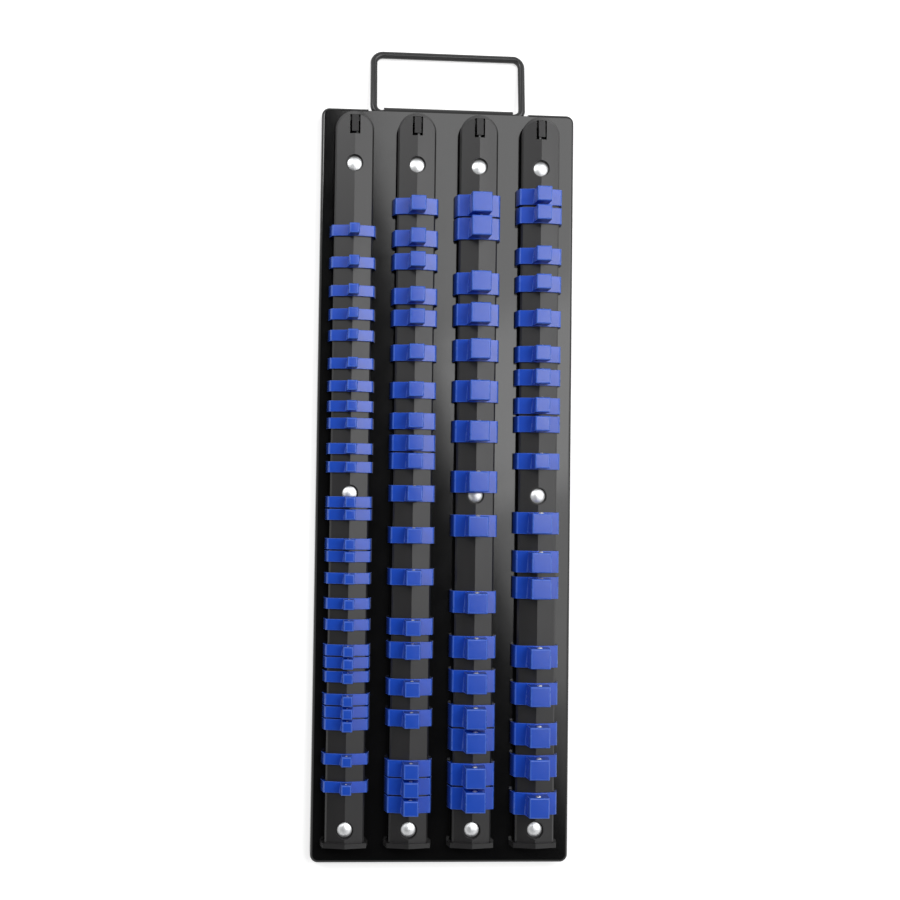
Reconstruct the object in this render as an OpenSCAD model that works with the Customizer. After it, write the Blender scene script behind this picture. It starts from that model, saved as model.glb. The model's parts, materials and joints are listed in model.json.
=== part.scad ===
// Socket organizer tray: a sheet-steel pan with four riveted plastic rails, square studs for
// three drive sizes on clips that slide along them, and a wire handle at the head.
// The pan lies on its back rim: z = 0 is that rim, +Z is out of the face, +Y is the handle end.

/* [Pan] */
// Width across the rails
pan_w = 164; // [158:1:200]
// Length along the rails
pan_l = 480; // [440:5:560]
// Depth of the turned-back sides
pan_h = 12; // [11:0.5:20]
// Thickness of the sheet steel
sheet_t = 1.2; // [0.8:0.1:1.4]
// Corner radius seen from the front
corner_r = 5; // [4:0.5:10]
// Outer radius of the bends along the edges
bend_r = 2; // [1.6:0.1:3]

/* [Handle] */
// Diameter of the handle wire
wire_d = 4.6; // [3:0.2:5]
// Distance between the middles of the two legs
grip_w = 96.8; // [80:0.2:110]
// Reach from the hinge line to the middle of the grip
grip_reach = 40.5; // [30:0.5:60]
// Radius of the wire's middle line round the grip corners
grip_r = 6; // [5:0.5:10]
// Radius of the wire's middle line where the legs turn into the curl
root_r = 5.5; // [4.5:0.5:7]
// Play between the wire and the curled hem
curl_play = 0.35; // [0.3:0.05:0.6]
// Width of the curled hem that holds the wire
curl_w = 84; // [60:1:86]
// Gap on each side of a leg where the turned side is cut away
leg_room = 1.3; // [1:0.1:3]
// How far the hinge line lies inside the pan's head edge
curl_inset = 1.8; // [1.5:0.1:3]
// How far the face runs past the hinge line beside the hem
hem_shoulder = 0.4; // [0.2:0.1:0.6]
// Gap left under the grip where the handle lies on the surface
grip_rest = 0.05; // [0.05:0.05:1]

/* [Rails] */
// Distance between neighbouring rails
rail_pitch = 40; // [37:0.5:45]
// How far the four rails together sit to the left of the pan's middle
rail_shift = 1; // [0:0.5:2]
// Bare face between the pan's head edge and the rails
head_margin = 3.5; // [2.5:0.5:12]
// Bare face between the pan's foot edge and the rails
foot_margin = 11.5; // [3:0.5:20]
// Width of the rail's head, which the clips hook under
rail_w = 24.5; // [22:0.5:26]
// Width of the rail's foot on the pan
rail_foot_w = 18; // [16:0.5:19]
// Height of the head's underside above the pan
rail_under = 4; // [3.5:0.5:5]
// Height of the head's edges above the pan
rail_edge = 7; // [6.5:0.5:8]
// Rise of the ridge above the head's edges
ridge_rise = 2.6; // [2:0.2:4]
// Height left square below the chamfer along the head's edges
edge_land = 2.2; // [1.5:0.1:2.4]
// Width of the hollow under the head
hollow_w = 13; // [10:0.5:13.5]
// Height of the hollow under the head
hollow_h = 6.4; // [5:0.2:6.6]
// Wall left between a rivet's recess and the hollow
boss_wall = 2; // [1.5:0.25:3]
// Length of the stop at the foot of the rail
stop_l = 3; // [2:0.5:5]

/* [Latch] */
// Width of the latch tongue
latch_w = 4.2; // [3:0.1:5]
// Length of the latch tongue
latch_l = 10.9; // [8:0.1:12]
// Thickness of the latch tongue at its root
latch_t = 1.9; // [1.6:0.1:2]
// How far the tongue's free end stands above its root
latch_lift = 1.4; // [1:0.1:2]
// How far the tongue's root lies below the ridge
latch_sunk = 0.1; // [0:0.05:0.4]
// Share of the tongue's thickness left at its free end
latch_taper = 0.9; // [0.6:0.05:1]
// Length of the tongue's sloping underside
latch_ramp = 8.2; // [5:0.1:9]
// Width of the slot round the tongue
slot_w = 1.2; // [0.8:0.1:1.6]
// Distance from the rail's head end to the latch's window
latch_inset = 2.8; // [2.5:0.1:5]
// Gap between the tongue's root and the window
root_gap = 0.3; // [0.2:0.1:0.5]

/* [Rivets] */
// Diameter of the domed rivet head
rivet_head_d = 9.2; // [8:0.2:10]
// Height of the domed rivet head
rivet_head_h = 1.2; // [1:0.1:1.2]
// Diameter of the rivet's shank
rivet_d = 3.6; // [3:0.1:3.7]
// Diameter of the set end behind the pan
rivet_tail_d = 6.4; // [5.6:0.2:8]
// Height of the set end behind the pan
rivet_tail_h = 1.6; // [1.2:0.1:2]
// Play round the shank in the rail and the pan
rivet_play = 0.1; // [0.05:0.05:0.2]
// Diameter of the recess that sinks the head into the rail
recess_d = 11; // [10.4:0.2:11.6]
// Height of the recess floor above the pan
recess_floor = 7; // [6:0.2:7.2]
// Distance from the rail's head end to the first rivet
rivet_from_head = 34; // [30:0.5:40]
// Distance from the rail's foot end to the last rivet
rivet_from_foot = 11; // [9:0.5:20]

/* [Clips] */
// Play between a clip and its rail
clip_play = 0.25; // [0.15:0.05:0.3]
// Thickness of a clip's roof over the rail
clip_roof = 1.5; // [1.2:0.1:1.8]
// Thickness of a clip's side at the top
clip_side = 1.1; // [1:0.05:1.6]
// How much wider a clip's side stands at its foot
clip_flare = 1.5; // [0.6:0.1:1.6]
// Gap between a clip's foot and the pan
clip_lift = 1; // [0.5:0.1:1.2]
// Length along the rail of a clip for quarter-inch sockets
quarter_l = 6.9; // [6.6:0.1:8]
// Length along the rail of a clip for three-eighth-inch sockets
eighths_l = 10.3; // [9.8:0.1:11.4]
// Length along the rail of a clip for half-inch sockets
half_l = 13.8; // [13.2:0.1:15]

/* [Studs] */
// Width of the quarter-inch stud
quarter_w = 6.4; // [6:0.1:6.5]
// Width of the three-eighth-inch stud
eighths_w = 9.5; // [9:0.1:9.6]
// Width of the half-inch stud
half_w = 12.7; // [12.2:0.1:12.9]
// Height of the quarter-inch stud above the clip's ridge
quarter_h = 8.6; // [7:0.2:10]
// Height of the three-eighth-inch stud above the clip's ridge
eighths_h = 10.4; // [9:0.2:12]
// Height of the half-inch stud above the clip's ridge
half_h = 11.6; // [10:0.2:14]
// Chamfer round the studs' tips
tip_chamfer = 0.5; // [0.3:0.1:0.8]

/* [Ball catches] */
// Diameter of the quarter-inch stud's ball
quarter_ball = 2; // [1.8:0.1:2.2]
// Diameter of the three-eighth-inch stud's ball
eighths_ball = 3; // [2.6:0.1:3.2]
// Diameter of the half-inch stud's ball
half_ball = 4; // [3.6:0.1:4.2]
// Play round a ball in its pocket
ball_play = 0.06; // [0.03:0.01:0.1]
// Gap between a ball and the lip that it rests behind
lip_gap = 0.04; // [0.02:0.01:0.08]
// Thickness of the lip that keeps a ball in
lip_t = 0.25; // [0.2:0.05:0.4]
// Share of a ball's diameter that the lip lets through
lip_share = 0.9; // [0.86:0.01:0.92]
// Share of a stud's width that the pocket goes in
pocket_share = 0.72; // [0.65:0.01:0.8]
// Share of a stud's height from its tip down to the ball
ball_drop_share = 0.35; // [0.3:0.01:0.45]
// Thickness of the catch springs' wire
catch_wire = 0.3; // [0.25:0.05:0.35]
// How much smaller than the ball's radius a spring's outside is
spring_under = 0.15; // [0.1:0.05:0.2]
// Gap between a ball and its spring
spring_gap = 0.02; // [0.01:0.01:0.05]

/* [Hidden] */
$fn = 64;
// How far a cut runs past what it cuts, and how deep one solid sinks into the next
OVER = 1;
SINK = 0.1;
LETTERS = ["a", "b", "c", "d"];
QUARTER = 0;
EIGHTHS = 1;
HALF = 2;

// One value for each drive size, in the order above
clip_l = [quarter_l, eighths_l, half_l];
stud_w = [quarter_w, eighths_w, half_w];
stud_h = [quarter_h, eighths_h, half_h];
ball_d = [quarter_ball, eighths_ball, half_ball];

// Drive size of each clip, from a rail's foot to its head
rail_sizes = [
    [for (k = [1:26]) QUARTER],
    [for (k = [1:20]) EIGHTHS],
    [for (k = [1:16]) HALF],
    [for (k = [1:18]) k <= 8 ? HALF : EIGHTHS]
];
// Free rail below each clip and above the last one. A rail shares its free length out in
// these proportions, which are millimetres at the sizes above.
rail_gaps = [
    [31.4, 10.4, 14.5, 0.9, 0.9, 7.2, 1.9, 0.9, 8.9, 6.3, 8.9, 6.8, 0.9, 11.5, 1, 15.1, 4.7, 9.1,
        3.9, 5.8, 7.5, 10.8, 6.6, 8, 11.2, 13.4, 59.8],
    [18.8, 1, 0.9, 21, 9, 12.8, 4.4, 20.8, 15.9, 16, 10.2, 1.1, 3.6, 9.2, 13.4, 11.9, 3.6, 11.8,
        4.6, 10.3, 41.4],
    [21, 1.1, 7.7, 1.1, 7.9, 7.6, 14.5, 34.2, 14, 18.1, 11.7, 12.3, 9, 6.2, 21.3, 1.1, 38.1],
    [17.7, 9.6, 6.1, 11.5, 9.6, 29.5, 2.7, 10.6, 27.2, 13.3, 1.4, 7.8, 4.6, 12.6, 11.9, 7.6, 15.9,
        1.6, 33.1]
];
// Clips that are pushed along together, from a rail's foot to its head
rail_groups = [[8, 7, 6, 5], [3, 4, 7, 6], [7, 2, 5, 2], [5, 3, 5, 5]];

rails = [0:3];
groups = [0:3];
sides = [-1, 1];

face_z = pan_h;
rail_head_y = pan_l / 2 - head_margin;
rail_foot_y = -pan_l / 2 + foot_margin;
ridge_z = rail_edge + ridge_rise;
roof_slope = ridge_rise / (rail_w / 2);
arch_y = rail_head_y - rail_w / 2;
edge_chamfer = ridge_z + OVER - rail_under - edge_land;

rivet_low_y = rail_foot_y + rivet_from_foot;
rivet_high_y = rail_head_y - rivet_from_head;
rivet_ys = [rivet_low_y, (rivet_low_y + rivet_high_y) / 2, rivet_high_y];
boss_r = recess_d / 2 + boss_wall;

window_top_y = rail_head_y - latch_inset;
latch_root_y = window_top_y - root_gap;
latch_tip_y = latch_root_y - latch_l;
window_low_y = latch_tip_y - slot_w;
window_w = latch_w + 2 * slot_w;
latch_top = ridge_z - latch_sunk;

// The clips run between the stop and the latch
run_low_y = rail_foot_y + stop_l;
run_high_y = latch_tip_y - root_gap;

clip_in_w = rail_w / 2 + clip_play;
clip_top_w = clip_in_w + clip_side;
clip_foot_w = clip_top_w + clip_flare;
clip_hook_w = rail_foot_w / 2 + clip_play;
clip_hook_top = rail_under - clip_play;
clip_in_ridge = ridge_z + clip_play;
clip_ridge = clip_in_ridge + clip_roof;

wire_r = wire_d / 2;
curl_in_r = wire_r + curl_play;
curl_out_r = curl_in_r + sheet_t;
hinge_y = pan_l / 2 - curl_inset;
hinge_z = face_z - curl_out_r;
// The free handle droops until its grip lies on the surface below the pan
droop = asin((hinge_z - wire_r - grip_rest) / grip_reach);
leg_cut_w = grip_w + wire_d + 2 * leg_room;
shoulder_y = hinge_y + hem_shoulder;

function rail_x(r) = (r - (len(rail_sizes) - 1) / 2) * rail_pitch - rail_shift;
function total(v, n) = n <= 0 ? 0 : v[n - 1] + total(v, n - 1);
function clip_size(r, k) = rail_sizes[r][k];
function clip_lengths(r) = [for (s = rail_sizes[r]) clip_l[s]];
function free_run(r) = run_high_y - run_low_y - total(clip_lengths(r), len(rail_sizes[r]));
function gap_share(r) = free_run(r) / total(rail_gaps[r], len(rail_gaps[r]));
function clip_y(r, k) = run_low_y + total(clip_lengths(r), k) + clip_l[clip_size(r, k)] / 2
    + gap_share(r) * total(rail_gaps[r], k + 1);
function group_first(r, g) = total(rail_groups[r], g);
function group_clips(r, g) = [group_first(r, g):group_first(r, g + 1) - 1];
function group_name(kind, r, g) = str(kind, "_", r + 1, LETTERS[g]);

// How far a ball's middle lies inside the stud's face, and what of it then stands out
function ball_depth(s) = lip_t + lip_gap + ball_d[s] / 2 * sqrt(1 - pow(lip_share, 2));
function ball_y(s) = stud_w[s] / 2 - ball_depth(s);
function ball_z(s) = clip_ridge + stud_h[s] * (1 - ball_drop_share);
function pocket_end_y(s) = stud_w[s] * (0.5 - pocket_share);
function spring_out_r(s) = ball_d[s] / 2 - spring_under;
function spring_in_r(s) = spring_out_r(s) - catch_wire;
function spring_front_y(s) = ball_y(s) - spring_gap - sqrt(pow(ball_d[s] / 2, 2) - pow(spring_in_r(s), 2));

// A flat rectangle with round corners
module round_rect(w, l, r) {
    square([w - 2 * r, l], center = true);
    square([w, l - 2 * r], center = true);
    for (sx = sides, sy = sides)
        translate([sx * (w / 2 - r), sy * (l / 2 - r)]) circle(r);
}

// A slab with round corners whose upper edges are bent over with radius b
module bent_slab(w, l, h, r, b) {
    linear_extrude(h - b) round_rect(w, l, r);
    linear_extrude(h) round_rect(w - 2 * b, l - 2 * b, r - b);
    for (sx = sides)
        translate([sx * (w / 2 - b), 0, h - b]) rotate([90, 0, 0])
            cylinder(r = b, h = l - 2 * r, center = true);
    for (sy = sides)
        translate([0, sy * (l / 2 - b), h - b]) rotate([0, 90, 0])
            cylinder(r = b, h = w - 2 * r, center = true);
    for (sx = sides, sy = sides)
        translate([sx * (w / 2 - r), sy * (l / 2 - r), h - b]) rotate_extrude()
            translate([r - b, 0]) circle(b);
}

// The hem curled round the handle wire, open towards the pan
module curled_hem() {
    translate([0, hinge_y, hinge_z]) difference() {
        rotate([0, 90, 0]) cylinder(r = curl_out_r, h = curl_w, center = true);
        rotate([0, 90, 0]) cylinder(r = curl_in_r, h = curl_w + 2 * OVER, center = true);
        translate([-curl_w / 2 - OVER, -curl_out_r - OVER, 0])
            cube([curl_w + 2 * OVER, curl_out_r + OVER, curl_out_r + OVER]);
    }
}

module pan() {
    // Where the bend along the head edge gives way to flat sheet
    bend_y = pan_l / 2 - bend_r - SINK;
    color([0.07, 0.07, 0.08]) difference() {
        union() {
            difference() {
                bent_slab(pan_w, pan_l, pan_h, corner_r, bend_r);
                translate([0, 0, -sheet_t])
                    bent_slab(pan_w - 2 * sheet_t, pan_l - 2 * sheet_t, pan_h, corner_r - sheet_t,
                        bend_r - sheet_t);
                translate([-leg_cut_w / 2, bend_y, -OVER])
                    cube([leg_cut_w, bend_r + SINK + OVER, pan_h + 2 * OVER]);
            }
            translate([-leg_cut_w / 2, bend_y - SINK, face_z - sheet_t])
                cube([leg_cut_w, shoulder_y - bend_y + SINK, sheet_t]);
            curled_hem();
        }
        for (r = rails, y = rivet_ys)
            translate([rail_x(r), y, face_z - sheet_t - OVER])
                cylinder(d = rivet_d + 2 * rivet_play, h = sheet_t + 2 * OVER);
    }
}

// A quarter turn of the handle wire from +X to +Y round the origin
module wire_bend(r) {
    rotate_extrude(angle = 90) translate([r, 0]) circle(r = wire_r);
}

module carry_handle() {
    leg_x = grip_w / 2;
    color([0.1, 0.1, 0.1]) translate([0, hinge_y, hinge_z]) rotate([-droop, 0, 0]) {
        rotate([0, 90, 0]) cylinder(r = wire_r, h = grip_w - 2 * root_r, center = true);
        translate([0, grip_reach, 0]) rotate([0, 90, 0])
            cylinder(r = wire_r, h = grip_w - 2 * grip_r, center = true);
        for (s = sides) {
            translate([s * leg_x, root_r, 0]) rotate([-90, 0, 0])
                cylinder(r = wire_r, h = grip_reach - root_r - grip_r);
            translate([s * (leg_x - root_r), root_r, 0]) rotate([0, 0, s > 0 ? -90 : 180]) wire_bend(root_r);
            translate([s * (leg_x - grip_r), grip_reach - grip_r, 0]) rotate([0, 0, s > 0 ? 0 : 90])
                wire_bend(grip_r);
        }
    }
}

// A domed cap on z = 0
module dome(d, h) {
    r = (pow(d / 2, 2) + pow(h, 2)) / (2 * h);
    intersection() {
        translate([0, 0, h - r]) sphere(r);
        cylinder(d = d, h = h + OVER);
    }
}

module rivets() {
    color([0.85, 0.86, 0.88]) for (r = rails, y = rivet_ys) translate([rail_x(r), y, face_z]) {
        translate([0, 0, recess_floor]) dome(rivet_head_d, rivet_head_h);
        translate([0, 0, -sheet_t - SINK]) cylinder(d = rivet_d, h = recess_floor + sheet_t + 2 * SINK);
        translate([0, 0, -sheet_t]) mirror([0, 0, 1]) dome(rivet_tail_d, rivet_tail_h);
    }
}

// Draws an outline in X and Z and runs it along Y from y0 to y1
module along_rail(y0, y1) {
    translate([0, y1, 0]) rotate([90, 0, 0]) linear_extrude(y1 - y0) children();
}

// The head under its chamfered edges, with a round end
module rail_head_body() {
    land = rail_under + edge_land;
    half = rail_w / 2;
    along_rail(rail_foot_y, arch_y) polygon([
        [-half, rail_under], [half, rail_under], [half, land], [half - edge_chamfer, land + edge_chamfer],
        [-half + edge_chamfer, land + edge_chamfer], [-half, land]
    ]);
    translate([0, arch_y, rail_under]) cylinder(r = half, h = edge_land);
    translate([0, arch_y, land]) cylinder(r1 = half, r2 = half - edge_chamfer, h = edge_chamfer);
}

module rail_roof() {
    half = rail_w / 2;
    along_rail(rail_foot_y, rail_head_y + OVER) polygon([
        [-half - OVER, rail_under], [half + OVER, rail_under], [half + OVER, rail_edge - roof_slope * OVER],
        [0, ridge_z], [-half - OVER, rail_edge - roof_slope * OVER]
    ]);
}

// The plate at the rail's foot that the clips come up against
module rail_stop() {
    along_rail(rail_foot_y, rail_foot_y + stop_l) polygon([
        [-clip_foot_w, 0], [clip_foot_w, 0], [clip_top_w, clip_ridge - roof_slope * clip_top_w],
        [0, clip_ridge], [-clip_top_w, clip_ridge - roof_slope * clip_top_w]
    ]);
}

module rail_hollow() {
    translate([0, 0, -OVER]) linear_extrude(hollow_h + OVER) difference() {
        union() {
            translate([-hollow_w / 2, run_low_y]) square([hollow_w, arch_y - run_low_y]);
            translate([0, arch_y]) circle(d = hollow_w);
        }
        for (y = rivet_ys) translate([0, y]) circle(r = boss_r);
    }
}

module rail(r) {
    color([0.16, 0.16, 0.17]) translate([rail_x(r), 0, face_z]) difference() {
        union() {
            intersection() {
                rail_head_body();
                rail_roof();
            }
            translate([-rail_foot_w / 2, rail_foot_y, 0])
                cube([rail_foot_w, arch_y - rail_foot_y, rail_under + SINK]);
            translate([0, arch_y, 0]) cylinder(d = rail_foot_w, h = rail_under + SINK);
            rail_stop();
        }
        rail_hollow();
        translate([-window_w / 2, window_low_y, hollow_h - SINK])
            cube([window_w, window_top_y - window_low_y, ridge_z]);
        for (y = rivet_ys) translate([0, y, 0]) {
            translate([0, 0, -OVER]) cylinder(d = rivet_d + 2 * rivet_play, h = ridge_z);
            translate([0, 0, recess_floor]) cylinder(d = recess_d, h = ridge_z);
        }
    }
}

// The springy tongue whose raised tip keeps the clips on the rail
module latch(r) {
    color([0.18, 0.18, 0.19]) translate([rail_x(r) - latch_w / 2, latch_root_y, face_z + latch_top])
        rotate([90, 0, 90]) linear_extrude(latch_w) polygon([
            [0, 0], [-latch_l, latch_lift], [-latch_l, latch_lift - latch_taper * latch_t],
            [latch_ramp - latch_l, -latch_t], [0, -latch_t]
        ]);
}

// A square stud with its tip chamfered, standing on z = 0
module stud(w, h) {
    c = tip_chamfer;
    outline = [
        [-w / 2, 0], [w / 2, 0], [w / 2, h - c], [w / 2 - c, h], [-w / 2 + c, h], [-w / 2, h - c]
    ];
    intersection() {
        translate([0, w / 2, 0]) rotate([90, 0, 0]) linear_extrude(w) polygon(outline);
        translate([-w / 2, 0, 0]) rotate([90, 0, 90]) linear_extrude(w) polygon(outline);
    }
}

// The clip's section: a roof over the ridge, flared sides, and hooks under the rail's head
module clip_section() {
    half = clip_top_w;
    polygon([
        [-clip_foot_w, clip_lift], [-clip_hook_w, clip_lift], [-clip_hook_w, clip_hook_top],
        [-clip_in_w, clip_hook_top], [-clip_in_w, clip_in_ridge - roof_slope * clip_in_w], [0, clip_in_ridge],
        [clip_in_w, clip_in_ridge - roof_slope * clip_in_w], [clip_in_w, clip_hook_top],
        [clip_hook_w, clip_hook_top], [clip_hook_w, clip_lift], [clip_foot_w, clip_lift],
        [half, clip_ridge - roof_slope * half], [0, clip_ridge], [-half, clip_ridge - roof_slope * half]
    ]);
}

module clip(s) {
    base = clip_in_ridge + SINK;
    color([0.13, 0.27, 0.76]) difference() {
        union() {
            along_rail(-clip_l[s] / 2, clip_l[s] / 2) clip_section();
            translate([0, 0, base]) stud(stud_w[s], clip_ridge + stud_h[s] - base);
        }
        translate([0, pocket_end_y(s), ball_z(s)]) rotate([-90, 0, 0])
            cylinder(d = ball_d[s] + 2 * ball_play, h = stud_w[s] / 2 - lip_t - pocket_end_y(s));
        translate([0, 0, ball_z(s)]) rotate([-90, 0, 0]) cylinder(d = lip_share * ball_d[s], h = stud_w[s]);
    }
}

module ball(s) {
    color([0.85, 0.86, 0.88]) translate([0, ball_y(s), ball_z(s)]) sphere(d = ball_d[s]);
}

// The spring behind a ball, drawn as the sleeve that its turns fill
module catch_spring(s) {
    back = pocket_end_y(s);
    color([0.6, 0.6, 0.62]) translate([0, back, ball_z(s)]) rotate([-90, 0, 0]) difference() {
        cylinder(r = spring_out_r(s), h = spring_front_y(s) - back);
        translate([0, 0, -OVER]) cylinder(r = spring_in_r(s), h = stud_w[s]);
    }
}

// Puts a piece of the right size at each place of one group of clips
module each_clip(r, g, kind) {
    for (k = group_clips(r, g)) translate([rail_x(r), clip_y(r, k), face_z]) {
        if (kind == "clips") clip(clip_size(r, k));
        if (kind == "balls") ball(clip_size(r, k));
        if (kind == "springs") catch_spring(clip_size(r, k));
    }
}

pan();
carry_handle();
rivets();
for (r = rails) rail(r);
for (r = rails) latch(r);
for (kind = ["clips", "balls", "springs"], r = rails, g = groups)
    each_clip(r, g, kind);
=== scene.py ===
"""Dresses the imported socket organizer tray: paint, stud clips, catch springs, handle and stage."""
import json
import math

import bmesh
import bpy
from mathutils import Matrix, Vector


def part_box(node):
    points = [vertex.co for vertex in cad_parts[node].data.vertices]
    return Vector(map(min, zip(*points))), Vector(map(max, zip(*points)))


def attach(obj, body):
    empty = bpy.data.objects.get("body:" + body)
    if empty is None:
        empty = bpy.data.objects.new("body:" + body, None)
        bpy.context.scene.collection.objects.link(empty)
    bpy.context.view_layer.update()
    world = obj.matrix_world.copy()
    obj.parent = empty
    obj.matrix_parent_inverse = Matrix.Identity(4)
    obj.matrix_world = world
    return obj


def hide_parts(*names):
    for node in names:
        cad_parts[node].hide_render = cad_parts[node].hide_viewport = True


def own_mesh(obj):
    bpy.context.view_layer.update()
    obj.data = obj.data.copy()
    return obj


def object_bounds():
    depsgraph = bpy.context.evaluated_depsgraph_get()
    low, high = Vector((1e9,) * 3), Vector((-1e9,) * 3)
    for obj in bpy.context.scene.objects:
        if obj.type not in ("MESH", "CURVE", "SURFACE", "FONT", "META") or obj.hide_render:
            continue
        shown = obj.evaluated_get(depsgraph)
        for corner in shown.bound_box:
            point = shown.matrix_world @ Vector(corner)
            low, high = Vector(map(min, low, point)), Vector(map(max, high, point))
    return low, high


bl_info = {
    "name": "Socket Tray Dresser",
    "version": (1, 0, 0),
    "blender": (4, 5, 0),
    "location": "3D View > Sidebar > Socket Tray",
    "description": "Models and paints the pieces of a socket organizer tray around its packed frame",
    "category": "Object",
}

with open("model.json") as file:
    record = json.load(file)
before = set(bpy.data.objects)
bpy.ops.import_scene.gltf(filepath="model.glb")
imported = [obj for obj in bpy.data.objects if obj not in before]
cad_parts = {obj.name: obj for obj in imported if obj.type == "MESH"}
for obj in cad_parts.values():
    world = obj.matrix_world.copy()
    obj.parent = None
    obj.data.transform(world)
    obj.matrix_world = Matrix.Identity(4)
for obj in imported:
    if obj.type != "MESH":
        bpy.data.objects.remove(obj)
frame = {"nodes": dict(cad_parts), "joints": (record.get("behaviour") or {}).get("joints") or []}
CAD_LOW, CAD_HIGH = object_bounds()

# The drive sizes, in the order of every size list
QUARTER, EIGHTHS, HALF = range(3)
DRIVE_NAMES = ("quarter", "eighths", "half")
RAIL_GROUPS = [(rail, letter) for rail in "1234" for letter in "abcd"]
# Places closer together than this are one place
NEAR = 2e-5
# The balls of neighbouring clips lie further apart than this
BALL_GAP = 0.002
# The plane that each clip's section is drawn out from
START_SIZE = 0.002
# Sides of the springs' thin wire
SPRING_SIDES = 6


def drive_of(rail, letter):
    """The drive size that a group of clips carries."""
    if rail == "4":
        return HALF if letter in "ab" else EIGHTHS
    return {"1": QUARTER, "2": EIGHTHS, "3": HALF}[rail]


# ---------------------------------------------------------------- what a user would change


class SOCKETTRAY_PG_clips(bpy.types.PropertyGroup):
    """Sizes that every stud clip shares, measured from the pan's face"""

    lift: bpy.props.FloatProperty(
        name="Foot height", description="Gap between a clip's foot and the pan",
        default=0.001, min=0.0005, max=0.0012, unit="LENGTH")
    hook_top: bpy.props.FloatProperty(
        name="Hook height", description="Top of the hooks that reach under the rail",
        default=0.00375, min=0.003, max=0.004, unit="LENGTH")
    hook_half: bpy.props.FloatProperty(
        name="Hook reach", description="Distance from the rail's middle to the hooks",
        default=0.00925, min=0.009, max=0.011, unit="LENGTH")
    inner_half: bpy.props.FloatProperty(
        name="Inner half width", description="Distance from the rail's middle to a side's inner face",
        default=0.0125, min=0.0121, max=0.013, unit="LENGTH")
    top_half: bpy.props.FloatProperty(
        name="Half width at the top", description="Distance from the rail's middle to the wing's edge",
        default=0.0136, min=0.013, max=0.0145, unit="LENGTH")
    foot_half: bpy.props.FloatProperty(
        name="Half width at the foot", description="Distance from the rail's middle to the foot's edge",
        default=0.0151, min=0.014, max=0.016, unit="LENGTH")
    inner_ridge: bpy.props.FloatProperty(
        name="Inner ridge height", description="Height of the roof's underside over the rail's ridge",
        default=0.00985, min=0.0097, max=0.0102, unit="LENGTH")
    roof: bpy.props.FloatProperty(
        name="Roof thickness", description="Thickness of the roof over the rail",
        default=0.0015, min=0.001, max=0.002, unit="LENGTH")
    slope: bpy.props.FloatProperty(
        name="Roof slope", description="Fall of the roof for each unit away from the ridge",
        default=0.21224, min=0.1, max=0.3)
    wing_rounding: bpy.props.FloatProperty(
        name="Wing rounding", description="Size of the rounding along the wings' long edges",
        default=0.0009, min=0.0002, max=0.001, unit="LENGTH")
    end_rounding: bpy.props.FloatProperty(
        name="End rounding", description="Size of the rounding along a clip's two ends",
        default=0.0002, min=0.00005, max=0.0002, unit="LENGTH")
    stud_rounding: bpy.props.FloatProperty(
        name="Stud rounding", description="Size of the rounding along a stud's four corners",
        default=0.0004, min=0.0002, max=0.0006, unit="LENGTH")
    tip_rounding: bpy.props.FloatProperty(
        name="Tip rounding", description="Size of the rounding round a stud's tip",
        default=0.0005, min=0.0003, max=0.0008, unit="LENGTH")
    fillet: bpy.props.FloatProperty(
        name="Stud fillet", description="Size of the fillets between a stud and its wings",
        default=0.0009, min=0.0002, max=0.0015, unit="LENGTH")
    lip: bpy.props.FloatProperty(
        name="Ball lip", description="Thickness of the lip that keeps a ball in its stud",
        default=0.00025, min=0.0002, max=0.0004, unit="LENGTH")
    play: bpy.props.FloatProperty(
        name="Ball play", description="Gap between a ball and its bore",
        default=0.00006, min=0.00002, max=0.0001, unit="LENGTH")
    mouth_share: bpy.props.FloatProperty(
        name="Ball mouth", description="Share of the ball's diameter that the lip lets through",
        default=0.9, min=0.86, max=0.92)
    length: bpy.props.FloatVectorProperty(
        name="Clip lengths", description="Lengths along the rail, for each drive size",
        size=3, default=(0.0069, 0.0103, 0.0138), unit="LENGTH")
    stud_width: bpy.props.FloatVectorProperty(
        name="Stud widths", description="Widths of the square studs, for each drive size",
        size=3, default=(0.0064, 0.0095, 0.0127), unit="LENGTH")
    stud_height: bpy.props.FloatVectorProperty(
        name="Stud heights",
        description="Heights of the studs above the clip's ridge, for each drive size",
        size=3, default=(0.0086, 0.0104, 0.0116), unit="LENGTH")
    ball: bpy.props.FloatVectorProperty(
        name="Ball diameters", description="Diameters of the catch balls, for each drive size",
        size=3, default=(0.002, 0.003, 0.004), unit="LENGTH")


class SOCKETTRAY_PG_wire(bpy.types.PropertyGroup):
    """Sizes of the bent wire handle and of the catch springs"""

    wire_radius: bpy.props.FloatProperty(
        name="Wire radius", description="Radius of the handle's wire",
        default=0.0023, min=0.0015, max=0.0025, unit="LENGTH")
    grip_width: bpy.props.FloatProperty(
        name="Grip width", description="Distance between the middles of the two legs",
        default=0.0968, min=0.08, max=0.11, unit="LENGTH")
    reach: bpy.props.FloatProperty(
        name="Reach", description="Distance from the hinge line to the middle of the grip",
        default=0.0405, min=0.03, max=0.06, unit="LENGTH")
    grip_bend: bpy.props.FloatProperty(
        name="Grip bend", description="Radius of the wire's middle line at the grip's corners",
        default=0.006, min=0.005, max=0.01, unit="LENGTH")
    root_bend: bpy.props.FloatProperty(
        name="Root bend", description="Radius of the wire's middle line where the legs turn into the hem",
        default=0.0055, min=0.0045, max=0.007, unit="LENGTH")
    spring_wire: bpy.props.FloatProperty(
        name="Spring wire radius", description="Radius of the wire of the catch springs",
        default=0.00014, min=0.0001, max=0.0002, unit="LENGTH")
    spring_turns: bpy.props.IntProperty(
        name="Spring turns", description="Turns of each catch spring", default=7, min=4, max=10)


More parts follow.
